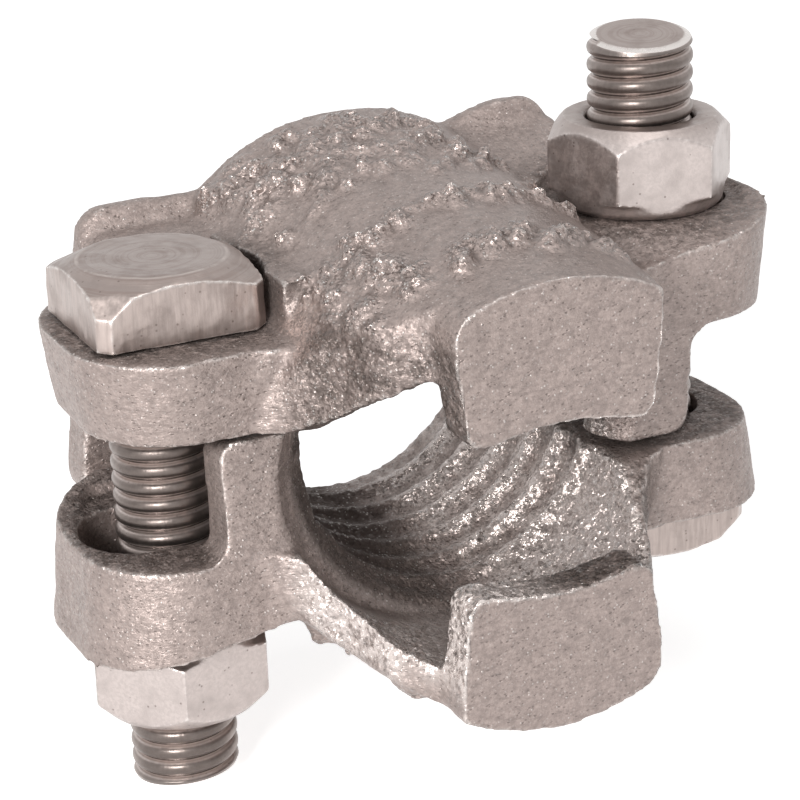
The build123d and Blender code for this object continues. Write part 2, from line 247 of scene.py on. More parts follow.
def cylinder(radius, low, high, x, sides=96):
    """A capped upright cylinder at x between two heights."""
    clear_selection()
    bpy.ops.mesh.primitive_cylinder_add(vertices=sides, radius=radius, depth=high - low,
                                        location=(x, 0, (low + high) / 2))
    return settle(bpy.context.object)


def draw_out(x, rise, scale):
    """Extrudes the selected end face by rise along Z and scales it about the upright axis at x."""
    bpy.ops.mesh.extrude_region_move(TRANSFORM_OT_translate={"value": (0, 0, rise)})
    bpy.ops.transform.resize(value=(scale, scale, 1), center_override=(x, 0, 0))


def rows_of(collection, field):
    """A vector of every item of a mesh's collection, as an array with a row each."""
    values = np.empty(len(collection) * 3, np.float32)
    collection.foreach_get(field, values)
    return values.reshape(-1, 3)


def store(obj, name, values):
    """Keeps one number per vertex for the materials."""
    layer = obj.data.attributes.new(name, "FLOAT", "POINT")
    layer.data.foreach_set("value", np.asarray(values, np.float32))


def edge_values(obj, reach=6):
    """Stores how far each vertex stands out (edge) or lies in (hollow) as smooth attributes."""
    mesh = obj.data
    count = len(mesh.vertices)
    co = rows_of(mesh.vertices, "co").astype(float)
    no = rows_of(mesh.vertex_normals, "vector").astype(float)
    full_bend = 0.22  # mean slope of a vertex's edges that counts as fully sharp
    ends = np.empty(len(mesh.edges) * 2, np.int32)
    mesh.edges.foreach_get("vertices", ends)
    a, b = ends.reshape(-1, 2).T
    length = np.linalg.norm(co[a] - co[b], axis=1) + 1e-9
    degree = np.bincount(a, minlength=count) + np.bincount(b, minlength=count) + 1e-9
    out = np.einsum("ij,ij->i", co[a] - co[b], no[a]) / length
    back = np.einsum("ij,ij->i", co[b] - co[a], no[b]) / length
    bend = (np.bincount(a, out, count) + np.bincount(b, back, count)) / degree
    for name, rounds in (("edge", reach // 3), ("hollow", reach)):
        smooth = bend.copy()
        for _ in range(rounds):
            near = np.bincount(a, smooth[b], count) + np.bincount(b, smooth[a], count)
            smooth = (smooth + near / degree) / 2
        values = smooth if name == "edge" else -smooth
        store(obj, name, np.clip(values / full_bend, 0, 1))


# ---------------------------------------------------------------- materials as expressions
class Value:
    """A socket in an expression: each operator adds the Math node that works it out."""

    def __init__(self, graph, node, socket):
        self.graph, self.node, self.socket = graph, node, socket

    def __getitem__(self, name):
        return Value(self.graph, self.node, self.node.outputs[name])

    def _math(self, operation, a, b):
        return self.graph.node("Math", {"operation": operation}, {0: a, 1: b})

    def __add__(self, other):
        return self._math("ADD", self, other)

    def __sub__(self, other):
        return self._math("SUBTRACT", self, other)

    def __rsub__(self, other):
        return self._math("SUBTRACT", other, self)

    def __mul__(self, other):
        return self._math("MULTIPLY", self, other)

    def __truediv__(self, other):
        return self._math("DIVIDE", self, other)

    def __pow__(self, other):
        return self._math("POWER", self, other)

    __radd__ = __add__
    __rmul__ = __mul__


class Graph:
    """A node tree written as expressions."""

    def __init__(self, tree):
        self.tree = tree

    def node(self, kind, settings=None, sockets=None):
        """Adds a node, sets it, then sets or links its sockets. Returns its first output in use."""
        node = self.tree.nodes.new("ShaderNode" + kind)
        for key, value in (settings or {}).items():
            setattr(node, key, value)
        for key, value in (sockets or {}).items():
            self.feed(node.inputs[key], value)
        return Value(self, node, next(s for s in node.outputs if s.enabled))

    def feed(self, socket, value):
        """Links a value to a socket, or sets the socket to a number or a colour."""
        if isinstance(value, Value):
            self.tree.links.new(value.socket, socket)
        else:
            socket.default_value = (*value, 1) if socket.type == "RGBA" and len(value) == 3 else value

    def mix(self, factor, a, b):
        """Mixes two colours."""
        return self.node("Mix", {"data_type": "RGBA", "clamp_factor": True}, {0: factor, 6: a, 7: b})

    def white_to_eye(self, otherwise):
        """White for camera, glossy and transmission rays, and another colour for the light that it casts."""
        rays = self.node("LightPath")
        seen = rays["Is Camera Ray"] + rays["Is Glossy Ray"] + rays["Is Transmission Ray"]
        return self.mix(seen, otherwise, (1.0, 1.0, 1.0))


class Finish(Graph):
    """A material written as expressions."""

    def __init__(self, name):
        self.material = bpy.data.materials.new(name)
        self.material.use_nodes = True
        super().__init__(self.material.node_tree)
        self.surface = self.tree.nodes["Principled BSDF"]

    def place(self):
        """Object coordinates in millimetres."""
        return self.scaled(self.node("TexCoord")["Object"], 1 / MM)

    def scaled(self, vector, factor):
        return self.node("VectorMath", {"operation": "SCALE"}, {0: vector, 3: factor})

    def axes(self, vector):
        """The X, Y and Z of a vector."""
        split = self.node("SeparateXYZ", None, {0: vector})
        return split["X"], split["Y"], split["Z"]

    def skewed(self, where, stretch=(1, 1, 1)):
        """Stretched coordinates turned out of line with the flat faces, so that no pattern lies along them."""
        return self.node("Mapping", None, {"Vector": where, "Scale": stretch, "Rotation": (0.35, 0.55, 0.2)})

    def noise(self, where, size, detail=3.0, rough=0.55):
        """Noise whose features are about size millimetres across."""
        return self.node("TexNoise", None,
                         {"Vector": where, "Scale": 1 / size, "Detail": detail, "Roughness": rough})

    def cells(self, where, size, feature="F1"):
        """Cells about size millimetres across, each with its own colour and the distance to its middle."""
        return self.node("TexVoronoi", {"feature": feature}, {"Vector": where, "Scale": 1 / size})

    def spots(self, cells, share, reach):
        """Spots in the cells whose colour is past the share, fading over the reach from their middles."""
        return self.ramp(cells["Color"], *share) * self.ramp(cells["Distance"], *reach, 1.0, 0.0)

    def ramp(self, value, low, high, to_low=0.0, to_high=1.0):
        """Smooth step of value from low to high."""
        return self.node("MapRange", {"interpolation_type": "SMOOTHSTEP"},
                         {"Value": value, "From Min": low, "From Max": high, "To Min": to_low, "To Max": to_high})

    def size_of(self, value):
        """The value without its sign."""
        return self.node("Math", {"operation": "ABSOLUTE"}, {0: value})

    def attribute(self, name):
        """A number that the mesh keeps per vertex."""
        return self.node("Attribute", {"attribute_name": name})["Fac"]

    def bump(self, height, distance, strength, normal=None):
        """A normal tipped by a height, over another normal where one is given."""
        sockets = {"Height": height, "Distance": distance, "Strength": strength}
        if normal:
            sockets["Normal"] = normal
        return self.node("Bump", None, sockets)

    def tilted(self, normal, colours, amount):
        """Tips the normal one way or another in each cell, so that single grains catch the light."""
        away = self.node("VectorMath", {"operation": "SUBTRACT"}, {0: colours, 1: (0.5, 0.5, 0.5)})
        tipped = self.node("VectorMath", {"operation": "ADD"}, {0: normal, 1: self.scaled(away, amount)})
        return self.node("VectorMath", {"operation": "NORMALIZE"}, {0: tipped})

    def use(self, **sockets):
        """Feeds the surface: use(Base_Color=..., Roughness=...)."""
        for key, value in sockets.items():
            self.feed(self.surface.inputs[key.replace("_", " ")], value)
        return self.material


def shade(colour, strength):
    """The colour made lighter or darker."""
    return [channel * strength for channel in colour]


def casting_finish(sizes):
    """Plated cast iron: warm satin grey and finely pitted, with painted shade in its hollows, in the gap by the
    head, round the seats, on one side of the bore and on one shoulder of its mouth, and painted highlights and
    glints on its edges, its lumps, the lit wall of the bore and the other shoulder.
    """
    f = Finish("plated_casting")
    here = f.place()
    turned = f.skewed(here)
    broad = f.noise(turned, 7.0, 4.0)
    patchy = f.noise(turned, 2.2, 4.0, 0.65)
    grain = f.noise(turned, 0.42, 3.0, 0.7)
    fine = f.noise(turned, 0.18, 2.0, 0.6)
    streaks = f.noise(f.skewed(here, (0.45, 0.45, 1.6)), 0.6, 3.0, 0.65)
    mottle = f.noise(turned, 1.1, 6.0, 0.85)
    pits = f.spots(f.cells(f.skewed(here, (0.7, 0.7, 1.4)), 0.32), (0.66, 0.74), (0.15, 0.45))
    # painted glints: small light dots scattered over the skin
    glint_dots = f.spots(f.cells(turned, 0.50), (0.60, 0.68), (0.12, 0.26))
    glint_cells = f.cells(turned, 0.30)
    glints = f.spots(glint_cells, (0.66, 0.76), (0.2, 0.45))
    scale_cells = f.cells(turned, 0.58, "SMOOTH_F1")

    # the places that get their own marks, painted shade and painted highlights among them, from the millimetres off
    # the bore's axis and off a bolt's axis
    x, y, z = f.axes(here)
    face_x, _, face_z = f.axes(f.node("NewGeometry")["Normal"])
    out = (x * x + z * z) ** 0.5
    off = f.size_of(x) - BOLT_X / MM
    corner = x * z  # tells the quarters of the bore apart, the same way in both halves
    wavy = corner + (broad - 0.5) * 60
    inside = f.ramp(out, BORE_RIM - 1.5, BORE_RIM, 1.0, 0.0) * f.ramp(y, BORE_FRONT, BORE_MOUTH)
    # painted shade on the side of each bore that the key light does not reach
    bore_shade = inside * f.ramp(wavy, -60.0, 50.0)
    lip = f.ramp(y, -5.0, -12.0) * 1.6
    # painted highlight on the ridges of the bore's wall that faces the key light: a lighter colour and glints
    bore_light = inside * f.ramp(wavy, -20.0, -90.0) * f.ramp(out - lip + (patchy - 0.5) * 1.6, 17.1, 16.4)
    bore_light = bore_light * f.ramp((face_x * x + face_z * z) / out, -0.2, -0.6)
    level = f.ramp(f.size_of(face_z), 0.55, 0.85)
    # painted shadow in the gap between the head and the stop beside it
    gap_shadow = f.ramp(off, -12.2, -10.9) * f.ramp(off, -9.0, -10.0) * f.ramp(f.size_of(y), 11.0, 9.5)
    gap_shadow = gap_shadow * f.ramp(corner, 0.0, -20.0) * (1 - level)
    # painted shade on the level faces round the head's and the nut's seats
    seat = level * f.ramp((off * off + y * y) ** 0.5 + (patchy - 0.5) * 4, 10.0, 15.0, 1.0, 0.0)
    coarse, lump = f.attribute("coarse"), f.attribute("lump")
    # painted highlight along the edges, beaded with glints
    edge = f.ramp(f.attribute("edge") + (grain - 0.5) * 0.9, 0.30, 0.75)
    # painted shade in the hollows
    hollow = f.ramp(f.attribute("hollow") + (broad - 0.5) * 0.3, 0.08, 0.7)
    shoulder = coarse * (1 - inside)
    # painted highlight and glints on the coarse shoulder round the mouth that faces the key light
    shoulder_light = shoulder * f.ramp(corner, -20.0, 40.0)
    # painted shade, broken into flakes, on the other coarse shoulder, which faces away from the key light
    flaky_shade = (shoulder - shoulder_light) * (0.38 + f.ramp(patchy, 0.4, 0.6) * 0.45)

    dirt_and_shade = tuple(sizes.dirt_and_shade)
    colour = f.mix(f.ramp(grain, 0.3, 0.7), shade(sizes.colour, 0.86), shade(sizes.colour, 1.12))
    # mixes over the plain colour: pattern and dirt, then painted shade and painted highlights from the masks above
    for amount, over in ((f.ramp(patchy, 0.35, 0.7) * 0.30, shade(sizes.colour, 0.72)),
                         (hollow * 0.85, dirt_and_shade),
                         (f.ramp(streaks, 0.45, 0.7) * 0.4, shade(sizes.colour, 0.55)),
                         (f.ramp(mottle, 0.46, 0.60) * 0.34, shade(sizes.colour, 0.5)),
                         (pits * 0.45, dirt_and_shade),
                         (gap_shadow * 0.85, shade(sizes.dirt_and_shade, 0.6)),
                         (bore_shade * 0.85, dirt_and_shade),
                         (seat * (0.35 + f.ramp(streaks, 0.4, 0.6) * 0.45), dirt_and_shade),
                         (flaky_shade, dirt_and_shade),
                         (shoulder_light * 0.7, (0.70, 0.63, 0.60)),
                         (bore_light * 0.7, (0.64, 0.57, 0.54)),
                         (edge * (0.25 + glints * 0.65), (0.86, 0.82, 0.79)),
                         (glint_dots * (1 - bore_shade) * 0.45, (0.80, 0.75, 0.72)),
                         (glints * (0.10 + coarse * 0.3 + lump * 0.8 + bore_light * 0.3), (0.90, 0.86, 0.83))):
        colour = f.mix(amount, colour, over)
    rough = (0.45 + bore_shade * 0.25 + seat * 0.12 + (fine - 0.5) * 0.3 + (broad - 0.5) * 0.2 - glints * 0.14
             - edge * 0.10 - coarse * 0.10 - lump * 0.14 - bore_light * 0.12 - shoulder_light * 0.10 + hollow * 0.2)
    normal = f.bump(grain * 0.55 + fine * 0.30 + streaks * 0.7 - pits * 0.5 + glint_dots * 0.3, 0.13 * MM, 0.9)
    granular = scale_cells["Distance"] * 0.6 + f.noise(here, 0.5, 3.0, 0.6) * 0.8
    normal = f.bump(granular * (coarse * 0.8 + lump * 0.5 + seat * 0.7 + 0.05), 0.30 * MM, 0.9, normal)
    normal = f.tilted(normal, glint_cells["Color"], coarse * 0.4 + lump * 0.75 + edge * 0.4 + seat * 0.4 + 0.25)
    normal = f.tilted(normal, scale_cells["Color"], bore_light * 0.9 + shoulder_light * 0.8)
    return f.use(Base_Color=colour, Roughness=rough, Metallic=0.62, Normal=normal)


def bolt_finish(sizes, name, drawn, crest=0.0, bore=0.0):
    """Plated steel with turned rings on its end faces, painted highlights on its edges and painted shade in its
    hollows. A drawn bolt has marks down its sides, a painted dark reflection on its thread's crests, painted
    highlight streaks on the flanks, painted shade in the roots and on its level faces, and a painted highlight on
    its turned ring; a nut has a painted dark reflection on one flat, is darker round its hole and has painted shade
    on its end faces round the hole."""
    f = Finish(name)
    here = f.place()
    x, y, z = f.axes(here)
    off = f.size_of(x) - BOLT_X / MM
    radius = (off * off + y * y) ** 0.5
    around = f.node("CombineXYZ", None, {0: radius * 1.6, 1: off * 0.03, 2: 0.0})
    turned = f.noise(around, 1.3, 3.0, 0.75)
    marks = f.noise(f.skewed(here, (1.6, 1.6, 0.16)), 0.7, 4.0, 0.6)
    grain = f.noise(here, 0.4, 3.0, 0.65)
    fine = f.noise(here, 0.16, 2.0, 0.6)
    blot = f.noise(here, 3.2, 4.0, 0.6)
    specks = f.spots(f.cells(here, 0.7), (0.70, 0.75), (0.10, 0.22))
    face_x, face_y, face_z = f.axes(f.node("NewGeometry")["Normal"])
    up = f.size_of(face_z)
    level = f.ramp(up, 0.80, 0.92)
    if drawn:
        threaded = f.ramp(radius, crest + 0.05, crest + 0.3, 1.0, 0.0) * f.ramp(up, 0.75, 0.9, 1.0, 0.0)
        back = face_x * BACK_X + face_y * BACK_Y
        # painted dark reflection on the thread's crests, strongest on the side away from the back right
        darkened = threaded * f.ramp(radius, crest - 0.34, crest - 0.16) * (0.45 + f.ramp(back, -0.3, -0.8) * 0.45)
        # painted highlight streaks along the flanks, either side of each root
        highlight_lines = threaded * f.ramp(radius, crest - 0.68, crest - 0.56)
        highlight_lines = highlight_lines * f.ramp(radius, crest - 0.22, crest - 0.42)
        # painted shade in the narrow roots
        root = threaded * f.ramp(radius, crest - 0.64, crest - 0.70)
    else:
        # painted dark reflection on the flat facing -X; then darker towards the hole
        flat = f.ramp(face_x, -0.85, -0.97) * f.ramp(f.noise(here, 2.2, 4.0, 0.7), 0.4, 0.6) * 0.35
        darkened = flat + f.ramp(radius, bore + 0.2, bore + 1.3, 0.8, 0.0)
    side = marks if drawn else grain
    brush = f.node("Mix", None, {0: level, 2: side, 3: turned})
    edge = f.ramp(f.attribute("edge") + (grain - 0.5) * 0.4, 0.2, 0.7)
    hollow = f.ramp(f.attribute("hollow"), 0.12, 0.6)
    if drawn:
        tip = f.ramp(f.size_of(z), -BOLT_END / MM - 1.2, -BOLT_END / MM - 0.6)
        edge, hollow = edge * (1 - threaded * (0.9 - tip * 0.4)), hollow * (1 - threaded * 0.8)
    spread = 0.11 if drawn else 0.07
    colour = f.mix(f.ramp(brush, 0.35, 0.65), shade(sizes.colour, 1 - spread), shade(sizes.colour, 1 + spread))
    colour = f.mix(f.ramp(blot, 0.46, 0.70) * 0.35, colour, shade(sizes.colour, 0.6))
    colour = f.mix(specks * 0.6, colour, (0.13, 0.10, 0.09))
    # painted dark reflections, and the nut's darker ring round its hole
    colour = f.mix(darkened, colour, DIRT_AND_SHADE)
    if drawn:
        # painted highlight along the edge of the turned ring on the head
        ring = level * f.ramp(f.size_of(radius - sizes.ring / MM + (blot - 0.5) * 0.4), 0.05, 0.3, 1.0, 0.0)
        colour = f.mix(highlight_lines * 0.55, colour, (0.80, 0.74, 0.71))
        colour = f.mix(root * 0.8, colour, (0.06, 0.048, 0.042))
        # painted shade on the level end faces, broken by the turned rings
        rings = level * (0.16 + f.ramp(turned, 0.44, 0.58) * 0.34)
        colour = f.mix(rings, colour, (0.17, 0.122, 0.105))
        colour = f.mix(ring * f.ramp(blot, 0.35, 0.65) * 0.45, colour, (0.70, 0.62, 0.58))
    else:
        # painted shade on the nut's end faces round its hole
        mouth = f.ramp(up, 0.4, 0.7) * f.ramp(radius, 9.8, 6.4)
        colour = f.mix(mouth * 0.6, colour, (0.18, 0.128, 0.108))
    # painted shade in the hollows
    colour = f.mix(hollow * 0.85, colour, (0.07, 0.055, 0.05))
    # painted highlight on the edges
    colour = f.mix(edge * 0.7, colour, (0.88, 0.84, 0.81))
    rough = 0.34 + (brush - 0.5) * 0.16 + f.ramp(blot, 0.45, 0.7) * 0.12 - edge * 0.10 + (fine - 0.5) * 0.1
    normal = f.bump(brush * (0.7 + level * 1.3) + grain * 0.4 + fine * 0.2, 0.04 * MM, 0.8)
    return f.use(Base_Color=colour, Roughness=rough, Metallic=0.9, Normal=normal)


# ---------------------------------------------------------------- pieces
def textured(obj, name, kind, size, height, group=None, mid=0.5, **settings):
    """Raises and sinks the surface of obj along its normals by a solid texture."""
    pattern = bpy.data.textures.new(name, kind)
    pattern.noise_scale = size
    for key, value in settings.items():
        setattr(pattern, key, value)
    more = {"vertex_group": group} if group else {}
    finish_modifier(obj, "DISPLACE", texture=pattern, texture_coords="LOCAL", strength=height, mid_level=mid,
                    **more)


def place_piece(piece, material, body, node):
    """Gives a finished piece its material and its body, and hides the CAD node that it stands for."""
    piece.data.materials.append(material)
    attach(piece, body)
    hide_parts(node)


def weigh(obj, name, rule):
    """A vertex group whose weight is rule(co, normal) for arrays of vertices."""
    weights = rule(rows_of(obj.data.vertices, "co") / MM, rows_of(obj.data.vertex_normals, "vector"))
    group = obj.vertex_groups.new(name=name)
    fineness = 80
    steps = np.round(np.clip(weights, 0, 1) * fineness).astype(int)
    for step in range(1, fineness + 1):
        group.add(np.nonzero(steps == step)[0].tolist(), step / fineness, "REPLACE")
    return group.name


def weights_of(obj, name):
    """The weight of each vertex of obj in the group of that name."""
    index = obj.vertex_groups[name].index
    return np.array([next((g.weight for g in v.groups if g.group == index), 0.0) for v in obj.data.vertices])


def soft(value, low, high):
    """0 below low, 1 above high, smooth between."""
    t = np.clip((value - low) / (high - low), 0, 1)
    return t * t * (3 - 2 * t)


# rows of lumps over the crown of a half, in millimetres: middle, half extent, slant, count, radius, rise
LUMP_ROWS = (((-2.5, 15.0), (12.5, 3.6), 0.0, 22, 2.7, 1.0),
             ((0.0, 7.5), (14.0, 3.4), 0.0, 22, 2.7, 1.0),
             ((0.5, 1.5), (14.0, 1.6), 0.0, 11, 2.0, 0.7),
             ((0.5, -9.0), (14.5, 0.9), 0.12, 18, 2.2, 0.95),
             ((3.0, -21.5), (9.0, 2.6), 0.0, 18, 2.4, 1.0),
             ((-13.0, -17.5), (3.8, 8.5), 0.0, 19, 2.5, 1.0))


def lumps(co, no):
    """Weights of the rows of lumps on a crown: each lump a rounded oval of its own size and turn."""
    weights = np.zeros(len(co))
    dice = np.random.default_rng(7)
    for (mid_x, mid_y), (half_x, half_y), slant, count, radius, rise in LUMP_ROWS:
        for n in range(count):
            x = half_x * (2 * (n + 0.5) / count - 1 + dice.uniform(-1, 1) / count)
            y = half_y * dice.uniform(-1, 1)
            if half_y > half_x:
                x, y = half_x * dice.uniform(-1, 1), half_y * (2 * (n + 0.5) / count - 1)
            turn, long = dice.normal(1.4, 0.6), dice.uniform(1.0, 1.7)
            size = radius * dice.uniform(0.7, 1.2)
            dx, dy = co[:, 0] - mid_x - x, co[:, 1] - mid_y - y - slant * x
            u, v = dx * math.cos(turn) + dy * math.sin(turn), dy * math.cos(turn) - dx * math.sin(turn)
            away = np.hypot(u / long, v * math.sqrt(long)) / size
            weights = np.maximum(weights, rise * dice.uniform(0.55, 1.0) * (1 - soft(away, 0.0, 1.0)))
    weights = weights * soft(no[:, 2], 0.3, 0.6)
    weights = weights * soft(np.hypot(co[:, 0], co[:, 2]), BORE_RIM, BORE_RIM + 1.5)
    return weights * soft(co[:, 0], -17.0, -15.0)


def bore_wall(co, no):
    """Weights of the bore's wall."""
    return 1 - soft(np.hypot(co[:, 0], co[:, 2]), 17.2, 18.2)


def head_stop(co, no):
    """Weights of the stop beside the head, which the casting runs smoothly into."""
    return (co[:, 2] > 8) * (1 - soft(np.abs(co[:, 0] + 15.5), 3.5, 5.0))


def coarse_skin(co, no):
    """Weights of the coarse scale: in the bore, and flaking from the shoulders round its mouth."""
    x, y, z = co.T
    out = np.hypot(x, z)
    bore = (1 - soft(out, BORE_RIM - 2, BORE_RIM)) * soft(y, BORE_FRONT, BORE_MOUTH)
    face = soft(-no[:, 1], 0.72, 0.9) * soft(-y, 24.0, 27.0)
    mouth = soft(-y, 13.5, 17.0) * (1 - soft(z, 15.0, 19.0)) * (1 - face)
    return np.maximum(bore * 0.9, mouth)


class CLAMP_OT_castings(bpy.types.Operator):
    """Models the two cast halves with their rough skin"""
    bl_idname = "hose_clamp.castings"
    bl_label = "Cast halves"

    def execute(self, context):
        sizes = context.scene.clamp_castings
        master = merged_node("upper_half", "casting")
        finish_modifier(master, "REMESH", mode="VOXEL", voxel_size=sizes.grain)
        finish_modifier(master, "SMOOTH", factor=0.5, iterations=4)
        for name, rule, rounds in (("bore", bore_wall, 3), ("stop", head_stop, 14)):
            group = weigh(master, name, rule)
            finish_modifier(master, "SMOOTH", factor=0.5, iterations=rounds, vertex_group=group)
        crown = weigh(master, "lumps", lumps)
        self.refine(master, weights_of(master, crown))
        raised = weights_of(master, crown)
        finish_modifier(master, "DISPLACE", strength=sizes.lumps * 0.9, mid_level=0, vertex_group=crown)
        textured(master, "lumps", "CLOUDS", 1.9 * MM, sizes.lumps * 1.1, crown, 0.45, noise_depth=1)
        textured(master, "lump_scale", "CLOUDS", 0.6 * MM, sizes.lumps * 0.22, crown, 0.5, noise_depth=1)
        scale = weigh(master, "scale", coarse_skin)
        textured(master, "scale", "CLOUDS", 0.85 * MM, sizes.scale, scale, 0.5, noise_depth=2, contrast=1.5)
        store(master, "coarse", weights_of(master, scale))
        store(master, "lump", np.clip(raised * 2.0, 0, 1))
        material = casting_finish(sizes)
        for name, node, body, side, matrix in (("cast_upper_half", "upper_half", "upper", 1, None),
                                               ("cast_lower_half", "lower_half", "lower", -1, HALF_TURN)):
            half = copied(master, name, matrix)
            textured(half, name + "_broad", "CLOUDS", 5.0 * MM, sizes.skin * 2.2, mid=0.9, noise_depth=2)
            textured(half, name + "_skin", "CLOUDS", 0.8 * MM, sizes.skin, mid=0.8, noise_depth=3)
            seat_pieces(half, side)
            take(half)
            bpy.ops.object.shade_smooth()
            edge_values(half)
            place_piece(half, material, body, node)
        bpy.data.objects.remove(master)
        return {"FINISHED"}

    def refine(self, master, raised):
        """Halves the faces that carry the lumps."""
        take(master)
        bpy.ops.object.mode_set(mode="EDIT")
        bpy.ops.mesh.select_mode(type="FACE")
        bpy.ops.mesh.select_all(action="DESELECT")
        bpy.ops.object.mode_set(mode="OBJECT")
        for face in master.data.polygons:
            face.select = max(raised[v] for v in face.vertices) > 0.02
        bpy.ops.object.mode_set(mode="EDIT")
        bpy.ops.mesh.subdivide(number_cuts=1)
        bpy.ops.object.mode_set(mode="OBJECT")


def seat_pieces(half, side):
    """Beds the head and the nut: flat below them, the skin sloping up to the nut's seat from outside."""
    gap = 0.02 * MM  # between the bed and what sits on it
    proud, sunk = 0.8 * MM, 3.5 * MM  # how far off the bed the skin may be and still be moved to it
    hole = 6.6  # radius in millimetres of the bolt's hole, whose wall stays
    mesh = half.data
    co = rows_of(mesh.vertices, "co")
    head_seat = HEAD_TOP - bpy.context.scene.clamp_bolts.head_height
    for x, seat, reach, bank in ((BOLT_X, NUT_SEAT, 8.8, 5.2), (-BOLT_X, head_seat, 9.0, 0.01)):
        away = np.hypot(co[:, 0] * side - x, co[:, 1]) / MM
        rise = co[:, 2] * side - (seat - gap)
        over = (away < reach) & (rise > 0) & (rise < proud)
        co[over, 2] -= side * rise[over]
        below = (away < reach + bank) & (rise < 0) & (rise > -sunk)
        lift = -rise * (1 - soft(away, reach + 0.4, reach + bank)) * (away > hole)
        co[below, 2] += side * lift[below]
    co[:, 1] = np.clip(co[:, 1], CAD_BOX[0][1], CAD_BOX[1][1])
    mesh.vertices.foreach_set("co", co.ravel())
    mesh.update()


